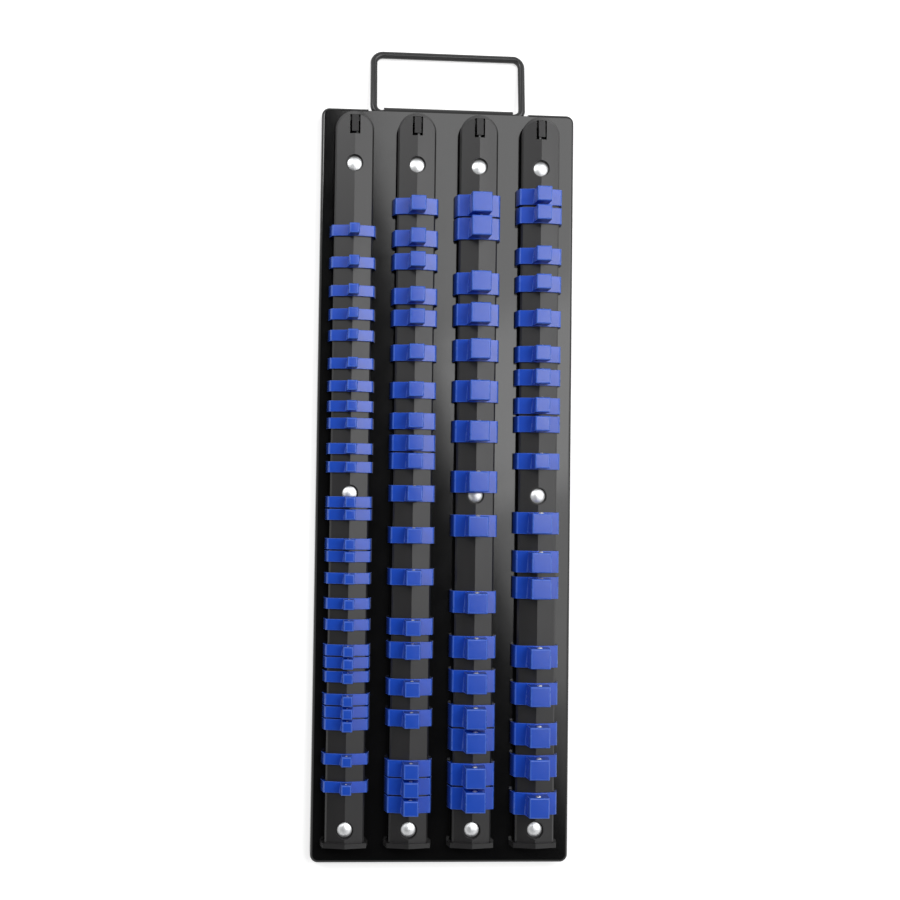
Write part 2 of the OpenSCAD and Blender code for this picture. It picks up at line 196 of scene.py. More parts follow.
class SOCKETTRAY_PG_finish(bpy.types.PropertyGroup):
    """Colours and gloss of the tray's finishes"""

    paint: bpy.props.FloatVectorProperty(
        name="Pan paint", description="Black powder coat of the pan",
        subtype="COLOR", size=3, default=(0.005, 0.005, 0.0052), min=0, max=1)
    wire_paint: bpy.props.FloatVectorProperty(
        name="Wire coating", description="Black coating of the handle",
        subtype="COLOR", size=3, default=(0.012, 0.012, 0.0125), min=0, max=1)
    rail: bpy.props.FloatVectorProperty(
        name="Rail plastic", description="Dark grey of the moulded rails and latches",
        subtype="COLOR", size=3, default=(0.0105, 0.01, 0.0105), min=0, max=1)
    blue: bpy.props.FloatVectorProperty(
        name="Clip plastic", description="Blue of the moulded clips",
        subtype="COLOR", size=3, default=(0.0135, 0.086, 0.6), min=0, max=1)
    # Painted highlight: a paler blue painted along the clips' edges, where their roundings catch the light
    blue_edge_highlight: bpy.props.FloatVectorProperty(
        name="Painted clip edge highlight", description="Paler blue along the clips' glinting edges",
        subtype="COLOR", size=3, default=(0.05, 0.15, 0.7), min=0, max=1)
    # Painted shade: the clips' colour is darkened towards their feet, where they lie in each other's shade
    painted_foot_shade: bpy.props.FloatProperty(
        name="Painted clip foot shade", description="Share of the clips' colour that is left at their feet",
        default=0.12, min=0, max=1)
    rivet: bpy.props.FloatVectorProperty(
        name="Rivet plating", description="Bright plating of the rivets",
        subtype="COLOR", size=3, default=(0.78, 0.79, 0.8), min=0, max=1)
    ball: bpy.props.FloatVectorProperty(
        name="Catch ball", description="Satin steel of the catch balls",
        subtype="COLOR", size=3, default=(0.9, 0.9, 0.91), min=0, max=1)
    spring: bpy.props.FloatVectorProperty(
        name="Catch spring", description="Plain steel of the catch springs",
        subtype="COLOR", size=3, default=(0.55, 0.55, 0.56), min=0, max=1)


class SOCKETTRAY_PG_stage(bpy.types.PropertyGroup):
    """Camera, lights and floor"""

    camera_place: bpy.props.FloatVectorProperty(
        name="Camera place", description="Place of the camera that took the picture",
        subtype="TRANSLATION", size=3, default=(-0.1158, -0.0077, 0.8798))
    camera_turn: bpy.props.FloatVectorProperty(
        name="Camera turn", description="Turn of the camera from looking straight down",
        subtype="EULER", size=3, default=(0.03934, -0.06854, 0.01519))
    camera_lens: bpy.props.FloatProperty(
        name="Camera lens", description="Focal length in millimetres", default=54.66, min=20, max=200)
    camera_shift: bpy.props.FloatVectorProperty(
        name="Camera shift", description="How far the picture's middle lies off the lens's axis",
        size=2, default=(0.1041, -0.0128))
    lamp_height: bpy.props.FloatProperty(
        name="Lamp height", description="Height of the highest soft light over the floor",
        default=1.512, min=0.5, unit="LENGTH")
    lamp_step: bpy.props.FloatProperty(
        name="Lamp step", description="Height that each soft light hangs below the one before it",
        default=0.015, min=0.001, unit="LENGTH")
    key_middle: bpy.props.FloatVectorProperty(
        name="Key light middle",
        description="Place in X and Y of the large soft light at the upper right",
        size=2, default=(0.741, 0.623), unit="LENGTH")
    key_size: bpy.props.FloatVectorProperty(
        name="Key light size", description="Width and length of the large soft light",
        size=2, default=(1.323, 0.974), unit="LENGTH")
    key_turn: bpy.props.FloatProperty(
        name="Key light turn",
        description="Turn of the large soft light, whose edge shows in the pan's gloss",
        subtype="ANGLE", default=math.radians(18.4))
    key_radiance: bpy.props.FloatProperty(
        name="Key light radiance", description="Brightness of the large light's face, where white is 1",
        default=3.61, min=0)
    belt_middle: bpy.props.FloatVectorProperty(
        name="Belt light middle",
        description="Place in X and Y of the soft light that overlaps the large one",
        size=2, default=(0.892, 0.205), unit="LENGTH")
    belt_size: bpy.props.FloatVectorProperty(
        name="Belt light size",
        description="Width and length of the soft light that overlaps the large one",
        size=2, default=(1.369, 0.653), unit="LENGTH")
    belt_turn: bpy.props.FloatProperty(
        name="Belt light turn", description="Turn of the soft light that overlaps the large one",
        subtype="ANGLE", default=math.radians(23.5))
    belt_radiance: bpy.props.FloatProperty(
        name="Belt light radiance",
        description="Brightness of the overlapping light's face, where white is 1",
        default=1.25, min=0)
    low_middle: bpy.props.FloatVectorProperty(
        name="Low light middle",
        description="Place in X and Y of the dim soft light at the lower right",
        size=2, default=(0.993, -0.116), unit="LENGTH")
    low_size: bpy.props.FloatVectorProperty(
        name="Low light size", description="Width and length of the dim soft light",
        size=2, default=(1.345, 0.569), unit="LENGTH")
    low_turn: bpy.props.FloatProperty(
        name="Low light turn", description="Turn of the dim soft light",
        subtype="ANGLE", default=math.radians(18.4))
    low_radiance: bpy.props.FloatProperty(
        name="Low light radiance", description="Brightness of the dim light's face, where white is 1",
        default=1.6, min=0)
    side_middle: bpy.props.FloatVectorProperty(
        name="Side light middle",
        description="Place in X and Y of the small soft light at the upper left",
        size=2, default=(-1.053, 0.854), unit="LENGTH")
    side_size: bpy.props.FloatVectorProperty(
        name="Side light size", description="Width and length of the small soft light",
        size=2, default=(1.04, 0.559), unit="LENGTH")
    side_turn: bpy.props.FloatProperty(
        name="Side light turn", description="Turn of the small soft light", subtype="ANGLE", default=0)
    side_radiance: bpy.props.FloatProperty(
        name="Side light radiance",
        description="Brightness of the small light's face, where white is 1",
        default=8.0, min=0)
    fill: bpy.props.FloatProperty(
        name="Room light", description="Brightness of the room on dull surfaces, where white is 1",
        default=0.08, min=0, max=1)
    ceiling: bpy.props.FloatProperty(
        name="Ceiling", description="Brightness of the ceiling that glossy surfaces reflect",
        default=0.008, min=0, max=1)
    ceiling_reach: bpy.props.FloatProperty(
        name="Ceiling reach", description="Angle from straight up at which the dark ceiling ends",
        subtype="ANGLE", default=math.radians(27))
    wall_start: bpy.props.FloatProperty(
        name="Wall start", description="Angle from straight up at which the white walls begin",
        subtype="ANGLE", default=math.radians(43))
    floor_size: bpy.props.FloatProperty(
        name="Floor size", description="Length of the white floor's sides",
        default=8.0, min=1.0, unit="LENGTH")
    floor_lift: bpy.props.FloatProperty(
        name="Floor lift", description="Brightness that the white floor gains in the picture",
        default=0.65, min=0, max=1)


class SOCKETTRAY_PG_settings(bpy.types.PropertyGroup):
    """Everything that the tray's operators read"""

    clips: bpy.props.PointerProperty(type=SOCKETTRAY_PG_clips)
    wire: bpy.props.PointerProperty(type=SOCKETTRAY_PG_wire)
    finish: bpy.props.PointerProperty(type=SOCKETTRAY_PG_finish)
    stage: bpy.props.PointerProperty(type=SOCKETTRAY_PG_stage)


# ---------------------------------------------------------------- modelling by hand, in code


def select_only(piece):
    """Selects one piece alone and makes it the active one."""
    bpy.ops.object.select_all(action="DESELECT")
    piece.select_set(True)
    bpy.context.view_layer.objects.active = piece


def start_piece(name, add, **how):
    """Adds a primitive, names it, applies its place to its mesh and opens it in edit mode."""
    bpy.ops.object.select_all(action="DESELECT")
    add(**how)
    piece = bpy.context.object
    piece.name = name
    piece.data.name = name
    bpy.ops.object.transform_apply(location=True, rotation=True, scale=True)
    bpy.ops.object.mode_set(mode="EDIT")
    return piece


def reopen(piece):
    """Opens a piece in edit mode again with all of it selected."""
    select_only(piece)
    bpy.ops.object.mode_set(mode="EDIT")
    bpy.ops.mesh.select_all(action="SELECT")


def leave_edit_mode():
    bpy.ops.object.mode_set(mode="OBJECT")


def merge_all():
    """Merges the doubles of the piece in edit mode and points its faces outwards."""
    bpy.ops.mesh.select_all(action="SELECT")
    bpy.ops.mesh.remove_doubles(threshold=NEAR)
    bpy.ops.mesh.normals_make_consistent(inside=False)


def pick(piece, kind, test):
    """Selects the vertices (VERT), edges (EDGE) or faces (FACE) that pass the test."""
    bpy.ops.mesh.select_mode(type=kind)
    bpy.ops.mesh.select_all(action="DESELECT")
    mesh = bmesh.from_edit_mesh(piece.data)
    mesh.normal_update()
    for item in {"VERT": mesh.verts, "EDGE": mesh.edges, "FACE": mesh.faces}[kind]:
        item.select_set(bool(test(item)))
    mesh.select_flush_mode()
    bmesh.update_edit_mesh(piece.data)


def shift_picked(x=0.0, y=0.0, z=0.0):
    """Moves what is picked."""
    bpy.ops.transform.translate(value=(x, y, z))


def extrude_picked(x=0.0, y=0.0, z=0.0):
    """Draws what is picked out into a new stretch."""
    bpy.ops.mesh.extrude_region_move(TRANSFORM_OT_translate={"value": (x, y, z)})


def send_vertex(piece, start, target):
    """Moves the one vertex that lies at start to target."""
    pick(piece, "VERT", lambda v: (v.co - start).length < NEAR)
    shift_picked(*(target - start))


def apply_modifier(piece, kind, **settings):
    """Adds a modifier with these settings and applies it."""
    select_only(piece)
    modifier = piece.modifiers.new(kind.lower(), kind)
    for key, value in settings.items():
        setattr(modifier, key, value)
    bpy.ops.object.modifier_apply(modifier=modifier.name)


def shade(piece, degrees=30, flats=False):
    """Shades curved stretches smoothly, keeps sharp edges, and keeps flats flat where asked."""
    select_only(piece)
    bpy.ops.object.shade_smooth_by_angle(angle=math.radians(degrees))
    if flats:
        apply_modifier(piece, "WEIGHTED_NORMAL", mode="FACE_AREA", weight=100, keep_sharp=True)


def copy_at(model, name, x, y, z):
    """A copy of a modelled piece with its own mesh, set down at a place."""
    select_only(model)
    bpy.ops.object.duplicate(linked=False)
    piece = bpy.context.object
    piece.name = name
    piece.data.name = name
    piece.location = (x, y, z)
    bpy.ops.object.transform_apply(location=True, rotation=False, scale=False)
    return piece


def join_pieces(pieces, name):
    """Joins several copies into one piece."""
    bpy.ops.object.select_all(action="DESELECT")
    for piece in pieces:
        piece.select_set(True)
    bpy.context.view_layer.objects.active = pieces[0]
    if len(pieces) > 1:
        bpy.ops.object.join()
    pieces[0].name = name
    pieces[0].data.name = name
    return pieces[0]


def drop_piece(piece):
    """Deletes a model that has only been copied from."""
    bpy.data.objects.remove(piece)


def settle(piece, body, replaced):
    """Hangs a piece on the body that it rides on and hides the node that it stands for."""
    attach(piece, body)
    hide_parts(replaced)


# ---------------------------------------------------------------- finishes


def new_group(name, inputs, outputs):
    """An empty shader node group with named sockets, and its two ends."""
    group = bpy.data.node_groups.new(name, "ShaderNodeTree")
    for label, default in inputs:
        socket = group.interface.new_socket(name=label, in_out="INPUT", socket_type="NodeSocketFloat")
        socket.default_value = default
    for label, kind in outputs:
        group.interface.new_socket(name=label, in_out="OUTPUT", socket_type=kind)
    return group, group.nodes.new("NodeGroupInput"), group.nodes.new("NodeGroupOutput")


def math_node(tree, operation, *values):
    """A Math node whose inputs are numbers or sockets."""
    node = tree.nodes.new("ShaderNodeMath")
    node.operation = operation
    for socket, value in zip(node.inputs, values):
        if isinstance(value, bpy.types.NodeSocket):
            tree.links.new(value, socket)
        else:
            socket.default_value = value
    return node.outputs[0]


def surface_grain():
    """Two scales of noise in the piece's own space: a fine height and a broad mottle."""
    name = "Surface grain"
    if name in bpy.data.node_groups:
        return bpy.data.node_groups[name]
    group, inward, outward = new_group(
        name,
        [("Fine Scale", 900.0), ("Broad Scale", 25.0), ("Stretch", 1.0)],
        [("Height", "NodeSocketFloat"), ("Mottle", "NodeSocketFloat")])
    place = group.nodes.new("ShaderNodeTexCoord")
    stretch = group.nodes.new("ShaderNodeCombineXYZ")
    group.links.new(inward.outputs["Stretch"], stretch.inputs["Y"])
    stretch.inputs["X"].default_value = 1.0
    stretch.inputs["Z"].default_value = 1.0
    scaled = group.nodes.new("ShaderNodeVectorMath")
    scaled.operation = "MULTIPLY"
    group.links.new(place.outputs["Object"], scaled.inputs[0])
    group.links.new(stretch.outputs[0], scaled.inputs[1])
    for source, target, detail in (("Fine Scale", "Height", 2.0), ("Broad Scale", "Mottle", 4.0)):
        noise = group.nodes.new("ShaderNodeTexNoise")
        noise.inputs["Detail"].default_value = detail
        group.links.new(scaled.outputs[0], noise.inputs["Vector"])
        group.links.new(inward.outputs[source], noise.inputs["Scale"])
        group.links.new(noise.outputs["Fac"], outward.inputs[target])
    return group


def finish_material(name, color, roughness, metallic=0.0, fine=900.0, broad=25.0, stretch=1.0,
                    depth=0.00002, strength=0.1, tone=0.1, gloss_change=0.05, specular=0.5):
    """A finish whose colour, gloss and relief vary a little with the surface grain."""
    material = bpy.data.materials.new(name)
    material.use_nodes = True
    tree = material.node_tree
    shader = tree.nodes["Principled BSDF"]
    shader.inputs["Metallic"].default_value = metallic
    shader.inputs["Specular IOR Level"].default_value = specular
    grain = tree.nodes.new("ShaderNodeGroup")
    grain.node_tree = surface_grain()
    grain.inputs["Fine Scale"].default_value = fine
    grain.inputs["Broad Scale"].default_value = broad
    grain.inputs["Stretch"].default_value = stretch
    mottle = math_node(tree, "SUBTRACT", grain.outputs["Mottle"], 0.5)
    shade_by = tree.nodes.new("ShaderNodeMix")
    shade_by.data_type = "RGBA"
    shade_by.blend_type = "MIX"
    shade_by.inputs["A"].default_value = [c * (1 - tone) for c in color] + [1.0]
    shade_by.inputs["B"].default_value = [min(1.0, c * (1 + tone)) for c in color] + [1.0]
    tree.links.new(grain.outputs["Mottle"], shade_by.inputs["Factor"])
    tree.links.new(shade_by.outputs["Result"], shader.inputs["Base Color"])
    uneven = math_node(tree, "MULTIPLY_ADD", mottle, 2 * gloss_change, roughness)
    tree.links.new(uneven, shader.inputs["Roughness"])
    bump = tree.nodes.new("ShaderNodeBump")
    bump.inputs["Strength"].default_value = strength
    bump.inputs["Distance"].default_value = depth
    tree.links.new(grain.outputs["Height"], bump.inputs["Height"])
    tree.links.new(bump.outputs["Normal"], shader.inputs["Normal"])
    return material


def pan_paint(finish):
    """Black powder coat with a semi-gloss sheen."""
    return finish_material("pan_paint", finish.paint, roughness=0.105, fine=1300.0, broad=60.0,
                           depth=0.00003, strength=0.1, tone=0.12, gloss_change=0.03)


def wire_coating(finish):
    """Black coating, a little duller than the pan's."""
    return finish_material("wire_coating", finish.wire_paint, roughness=0.3, fine=1500.0, broad=90.0,
                           depth=0.00003, strength=0.12)


def rail_plastic(finish):
    """Dark grey plastic whose grain runs along the rails."""
    return finish_material("rail_plastic", finish.rail, roughness=0.385, fine=1100.0, broad=70.0,
                           stretch=0.15, depth=0.00003, strength=0.15, tone=0.2, gloss_change=0.06)


def paint_shade_down(material, low, high, least):
    """Paints shade into a finish: it grows darker from one height down to another, standing in for the
    shade between the rails.
    """
    tree = material.node_tree
    color = tree.nodes["Principled BSDF"].inputs["Base Color"]
    place = tree.nodes.new("ShaderNodeTexCoord")
    split = tree.nodes.new("ShaderNodeSeparateXYZ")
    tree.links.new(place.outputs["Object"], split.inputs[0])
    rise = tree.nodes.new("ShaderNodeMapRange")
    rise.inputs["From Min"].default_value = low
    rise.inputs["From Max"].default_value = high
    rise.inputs["To Min"].default_value = least
    tree.links.new(split.outputs["Z"], rise.inputs["Value"])
    shaded_color = tree.nodes.new("ShaderNodeVectorMath")
    shaded_color.operation = "SCALE"
    tree.links.new(color.links[0].from_socket, shaded_color.inputs[0])
    tree.links.new(rise.outputs[0], shaded_color.inputs["Scale"])
    # The painted shade scales the finish's colour by height
    tree.links.new(shaded_color.outputs[0], color)


def clip_plastic(settings):
    """Blue plastic with painted shade: its sides grow darker towards the pan."""
    clips = settings.clips
    finish = settings.finish
    material = finish_material("clip_plastic", finish.blue, roughness=0.245, fine=1200.0, broad=160.0,
                               depth=0.00002, strength=0.1, tone=0.06, specular=0.57)
    foot = face_height() + clips.lift
    wing = face_height() + clips.inner_ridge + clips.roof - clips.slope * clips.top_half
    # Painted shade: the clip's colour darkens from its wing down to its foot
    paint_shade_down(material, foot, wing - clips.wing_rounding, finish.painted_foot_shade)
    return material


def clip_edge_plastic(finish):
    """The clips' plastic in a paler blue, a highlight painted along the edges where the roundings catch
    the light.
    """
    return finish_material("clip_edge_plastic", finish.blue_edge_highlight, roughness=0.28, fine=1200.0,
                           broad=160.0, depth=0.00001, strength=0.1, tone=0.06)


def rivet_plating(finish):
    """Bright plating, just dull enough to spread the lamps' light."""
    return finish_material("rivet_plating", finish.rivet, roughness=0.42, metallic=1.0, fine=1800.0,
                           broad=300.0, depth=0.00002, strength=0.1, tone=0.05)


def ball_steel(finish):
    """Satin steel."""
    return finish_material("ball_steel", finish.ball, roughness=0.42, metallic=1.0, fine=3000.0,
                           broad=600.0, depth=0.000005, strength=0.05, tone=0.03, gloss_change=0.02)


def spring_steel(finish):
    """Plain drawn steel wire."""
    return finish_material("spring_steel", finish.spring, roughness=0.3, metallic=1.0, fine=4000.0,
                           broad=900.0, depth=0.000005, strength=0.05, tone=0.05)


def paint_node(name, material):
    """Gives a CAD node its finish."""
    node = frame["nodes"][name]
    node.data.materials.clear()
    node.data.materials.append(material)


# ---------------------------------------------------------------- where the frame puts things


def face_height():
    """Height of the pan's face, on which the rails stand."""
    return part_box("rail_1")[0].z


def rail_middle(rail):
    """Place along X of a rail's middle line."""
    low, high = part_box(f"rail_{rail}")
    return (low.x + high.x) / 2


def joint(name):
    """What the frame says about a joint."""
    return next(entry for entry in frame["joints"] if entry["name"] == name)


def clip_places(rail, letter, length):
    """Middles along Y of a group's clips.

    Each clip has one ball, at the same place in the clip, and the first clip starts the group.
    """
    node = frame["nodes"][f"balls_{rail}{letter}"]
    along = sorted(vertex.co.y for vertex in node.data.vertices)
    middles = []
    start = along[0]
    for here, after in zip(along, along[1:] + [math.inf]):
        if after - here > BALL_GAP:
            middles.append((start + here) / 2)
            start = after
    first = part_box(f"clips_{rail}{letter}")[0].y + length / 2
    return [first + middle - middles[0] for middle in middles]


# ---------------------------------------------------------------- stud clips


def clip_section(piece, clips, near_y):
    """Turns a plane into the right half of the clip's section, drawn at the clip's near end."""
    outer_ridge = clips.inner_ridge + clips.roof

    def at(x, z):
        return Vector((x, near_y, z))

    def side_at(z):
        """The side's outer face at a height, between the wing's edge and the foot."""
        top = outer_ridge - clips.slope * clips.top_half
        share = (top - z) / (top - clips.lift)
        return clips.top_half + share * (clips.foot_half - clips.top_half)

    inner = [
        at(0, clips.inner_ridge),
        at(clips.inner_half, clips.inner_ridge - clips.slope * clips.inner_half),
        at(clips.inner_half, clips.hook_top),
        at(clips.inner_half, clips.lift),
    ]
    outer = [
        at(0, outer_ridge),
        at(clips.top_half, outer_ridge - clips.slope * clips.top_half),
        at(side_at(clips.hook_top), clips.hook_top),
        at(clips.foot_half, clips.lift),
    ]
    mesh = bmesh.from_edit_mesh(piece.data)
    corners = sorted((v.co.copy() for v in mesh.verts), key=lambda c: (c.x, c.z))
    for corner, target in zip(corners, (inner[0], outer[0], inner[1], outer[1])):
        send_vertex(piece, corner, target)
    for step in range(1, 3):
        from_inner, from_outer = inner[step], outer[step]
        pick(piece, "VERT", lambda v: min((v.co - from_inner).length, (v.co - from_outer).length) < NEAR)
        aside = Vector((1, 0, 0))
        extrude_picked(*aside)
        send_vertex(piece, from_inner + aside, inner[step + 1])
        send_vertex(piece, from_outer + aside, outer[step + 1])
    pick(piece, "VERT", lambda v: min((v.co - inner[2]).length, (v.co - inner[3]).length) < NEAR)
    extrude_picked(x=clips.hook_half - clips.inner_half)


def raise_stud(piece, clips, drive):
    """Marks the stud's footprint on the roof and draws it up."""
    half = clips.stud_width[drive] / 2
    ridge = clips.inner_ridge + clips.roof
    tip = ridge + clips.stud_height[drive]
    underside = ridge - clips.roof / 2

    def on_roof(f):
        middle = f.calc_center_median()
        return f.normal.z > 0.5 and middle.z > underside - clips.slope * abs(middle.x)

    for normal in ((1, 0, 0), (0, 1, 0)):
        for side in (-1, 1):
            pick(piece, "FACE", on_roof)
            bpy.ops.mesh.bisect(plane_co=[side * half * n for n in normal], plane_no=normal)

    def in_footprint(f):
        middle = f.calc_center_median()
        return on_roof(f) and abs(middle.x) < half and abs(middle.y) < half

    pick(piece, "FACE", in_footprint)
    extrude_picked(z=tip - ridge)
    bpy.ops.transform.resize(value=(1, 1, 0), center_override=(0, 0, tip))
    bpy.ops.mesh.select_all(action="SELECT")
    bpy.ops.mesh.dissolve_limited(angle_limit=math.radians(0.5))


def round_edges(piece, clips, drive):
    """Marks each kind of edge with its own rounding and bevels them all in the paler plastic of the
    painted edge highlight.
    """
    half = clips.stud_width[drive] / 2
    end_y = clips.length[drive] / 2
    ridge = clips.inner_ridge + clips.roof
    tip = ridge + clips.stud_height[drive]
    wing_z = ridge - clips.slope * clips.top_half
    fillet_z = ridge - clips.slope * half

    def all_at(e, **where):
        """Whether both ends lie at these distances from the middle planes."""
        return all(abs(abs(getattr(v.co, axis)) - far) < NEAR
                   for v in e.verts for axis, far in where.items())

    def outside(e):
        """Whether the edge lies on the clip's outer skin and not round its hollow."""
        return all(v.co.z > ridge - clips.slope * abs(v.co.x) - NEAR or abs(v.co.x) > clips.top_half - NEAR
                   for v in e.verts)

    kinds = (
        (clips.tip_rounding, lambda e: all_at(e, z=tip)),
        (clips.stud_rounding, lambda e: all_at(e, x=half, y=half)),
        (clips.fillet, lambda e: all_at(e, x=half, z=fillet_z)),
        (clips.wing_rounding, lambda e: all_at(e, x=clips.top_half, z=wing_z)),
        (clips.end_rounding, lambda e: all_at(e, y=end_y) and outside(e)),
        (clips.end_rounding, lambda e: all_at(e, x=clips.foot_half, z=clips.lift)),
    )
    widest = max(size for size, _test in kinds)
    for size, test in kinds:
        pick(piece, "EDGE", test)
        bpy.ops.transform.edge_bevelweight(value=size / widest)
    leave_edit_mode()
    # The bevels take the second material, whose paler blue is a painted highlight
    apply_modifier(piece, "BEVEL", width=widest, segments=3, limit_method="WEIGHT",
                   use_clamp_overlap=False, material=1)


def pocket_tool(clips, drive):
    """The shape that is cut out for a ball and its spring: a bore with a narrower mouth."""
    radius = clips.ball[drive] / 2
    bore = radius + clips.play
    half = clips.stud_width[drive] / 2
    first_clip = clip_places(*first_group(drive), clips.length[drive])[0]
    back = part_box(spring_node(drive))[0].y - first_clip
    depth = half - clips.lip - back
    tool = start_piece(
        "pocket_tool", bpy.ops.mesh.primitive_cylinder_add, vertices=24, radius=bore, depth=depth,
        location=(0, back + depth / 2, ball_height(drive)), rotation=(-math.pi / 2, 0, 0))
    pick(tool, "FACE", lambda f: f.normal.y > 0.9)
    bpy.ops.mesh.inset(thickness=bore - clips.mouth_share * radius)
    extrude_picked(y=clips.lip + radius)
    leave_edit_mode()
    return tool


def ball_height(drive):
    """Height of the balls' middles above the pan's face."""
    low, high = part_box("balls_" + "".join(first_group(drive)))
    return (low.z + high.z) / 2 - face_height()


def first_group(drive):
    """The first group of clips that carries a drive size."""
    return next(group for group in RAIL_GROUPS if drive_of(*group) == drive)


def spring_node(drive):
    """The first group of springs of a drive size."""
    return "springs_" + "".join(first_group(drive))


def clip_model(clips, drive, finishes):
    """One stud clip in its two finishes, the blue plastic with painted shade at its foot and the paler
    blue of its painted edge highlight, standing over the middle of the pan's face.
    """
    length = clips.length[drive]
    piece = start_piece(
        f"clip_{DRIVE_NAMES[drive]}", bpy.ops.mesh.primitive_plane_add, size=START_SIZE,
        location=(0, -length / 2, 0), rotation=(math.pi / 2, 0, 0))
    clip_section(piece, clips, -length / 2)
    leave_edit_mode()
    apply_modifier(piece, "MIRROR", use_axis=(True, False, False), merge_threshold=NEAR)
    reopen(piece)
    extrude_picked(y=length)
    merge_all()
    raise_stud(piece, clips, drive)
    for finish in finishes:
        piece.data.materials.append(finish)
    round_edges(piece, clips, drive)
    tool = pocket_tool(clips, drive)
    apply_modifier(piece, "BOOLEAN", operation="DIFFERENCE", object=tool, solver="EXACT")
    drop_piece(tool)
    shade(piece, flats=True)
    return piece


class SOCKETTRAY_OT_clips(bpy.types.Operator):
    """Model a stud clip for each drive size and set the copies on the rails"""

    bl_idname = "sockettray.clips"
    bl_label = "Stud Clips"

    def execute(self, context):
        settings = context.scene.socket_tray
        # The first finish has painted shade towards the feet, the second paints a highlight along the
        # edges
        finishes = (clip_plastic(settings), clip_edge_plastic(settings.finish))
        models = [clip_model(settings.clips, drive, finishes) for drive in (QUARTER, EIGHTHS, HALF)]
        for rail, letter in RAIL_GROUPS:
            drive = drive_of(rail, letter)
            places = clip_places(rail, letter, settings.clips.length[drive])
            copies = [
                copy_at(models[drive], f"clip_{rail}{letter}_{count}", rail_middle(rail), y, face_height())
                for count, y in enumerate(places, 1)
            ]
            piece = join_pieces(copies, f"stud_clips_{rail}{letter}")
            settle(piece, f"clips_{rail}{letter}", f"clips_{rail}{letter}")
        for model in models:
            drop_piece(model)
        return {"FINISHED"}


# ---------------------------------------------------------------- ball catches


def spring_model(wire, drive):
    """One coil spring along Y, from its back end at the origin, and its length."""
    low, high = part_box(spring_node(drive))
    coil_radius = (high.x - low.x) / 2 - wire.spring_wire
    # A solid spring is a plain sleeve, so its next corners along Y are those of its far end
    node = frame["nodes"][spring_node(drive)]
    length = min(v.co.y for v in node.data.vertices if v.co.y > low.y + NEAR) - low.y
    run = length - 2 * wire.spring_wire
    piece = start_piece(
        f"spring_{DRIVE_NAMES[drive]}", bpy.ops.mesh.primitive_circle_add, vertices=SPRING_SIDES,
        radius=wire.spring_wire, location=(coil_radius, wire.spring_wire, 0))
    leave_edit_mode()
    apply_modifier(piece, "SCREW", axis="Y", screw_offset=run / wire.spring_turns,
                   iterations=wire.spring_turns, steps=14, render_steps=14, use_smooth_shade=True)
    reopen(piece)
    bpy.ops.mesh.fill_holes(sides=SPRING_SIDES)
    bpy.ops.mesh.select_all(action="SELECT")
    bpy.ops.mesh.normals_make_consistent(inside=False)
    leave_edit_mode()
    shade(piece, degrees=50)
    return piece, length


class SOCKETTRAY_OT_catches(bpy.types.Operator):
    """Finish the catch balls and coil a spring behind each of them"""

    bl_idname = "sockettray.catches"
    bl_label = "Ball Catches"

    def execute(self, context):
        settings = context.scene.socket_tray
        satin = ball_steel(settings.finish)
        plain = spring_steel(settings.finish)
        models = [spring_model(settings.wire, drive) for drive in (QUARTER, EIGHTHS, HALF)]
        for model, _length in models:
            model.data.materials.append(plain)
        for rail, letter in RAIL_GROUPS:
            group = rail + letter
            drive = drive_of(rail, letter)
            model, length = models[drive]
            paint_node(f"balls_{group}", satin)
            places = clip_places(rail, letter, settings.clips.length[drive])
            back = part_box(f"springs_{group}")[0].y - places[0]
            height = face_height() + ball_height(drive)
            for count, y in enumerate(places, 1):
                anchor = (rail_middle(rail), y + back, height)
                piece = copy_at(model, f"catch_spring_{group}_{count}", *anchor)
                settle(piece, f"clips_{group}", f"springs_{group}")
                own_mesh(piece)
        for model, _length in models:
            drop_piece(model)
        return {"FINISHED"}


# ---------------------------------------------------------------- handle


def bend_wire(centre):
    """Spins the wire's open end a quarter turn to the left about a point of the handle's plane."""
    bpy.ops.mesh.spin(steps=8, angle=-math.pi / 2, center=(*centre, 0), axis=(0, 0, 1))


def handle_model(wire):
    """The wire handle, bent up flat from a circle that starts in the middle of the hem."""
    half = wire.grip_width / 2
    piece = start_piece(
        "wire_handle", bpy.ops.mesh.primitive_circle_add, vertices=20, radius=wire.wire_radius,
        location=(0, 0, 0), rotation=(0, math.pi / 2, 0))
    extrude_picked(x=half - wire.root_bend)
    bend_wire((half - wire.root_bend, wire.root_bend))
    extrude_picked(y=wire.reach - wire.root_bend - wire.grip_bend)
    bend_wire((half - wire.grip_bend, wire.reach - wire.grip_bend))
    extrude_picked(x=-2 * (half - wire.grip_bend))
    bend_wire((wire.grip_bend - half, wire.reach - wire.grip_bend))
    extrude_picked(y=wire.root_bend + wire.grip_bend - wire.reach)
    bend_wire((wire.root_bend - half, wire.root_bend))
    extrude_picked(x=half - wire.root_bend)
    merge_all()
    leave_edit_mode()
    return piece


class SOCKETTRAY_OT_handle(bpy.types.Operator):
    """Bend the wire handle and lay it down in its hem"""

    bl_idname = "sockettray.handle"
    bl_label = "Wire Handle"

    def execute(self, context):
        settings = context.scene.socket_tray
        wire = settings.wire
        hinge = joint("handle_hinge")["pos_m"]
        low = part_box("carry_handle")[0]
        piece = handle_model(wire)
        piece.location = hinge
        piece.rotation_euler.x = -math.asin((hinge[2] - wire.wire_radius - low.z) / wire.reach)
        bpy.ops.object.transform_apply(location=True, rotation=True, scale=False)
        shade(piece, degrees=60)
        piece.data.materials.append(wire_coating(settings.finish))
        settle(piece, "handle", "carry_handle")
        return {"FINISHED"}


# ---------------------------------------------------------------- pan, rails and rivets


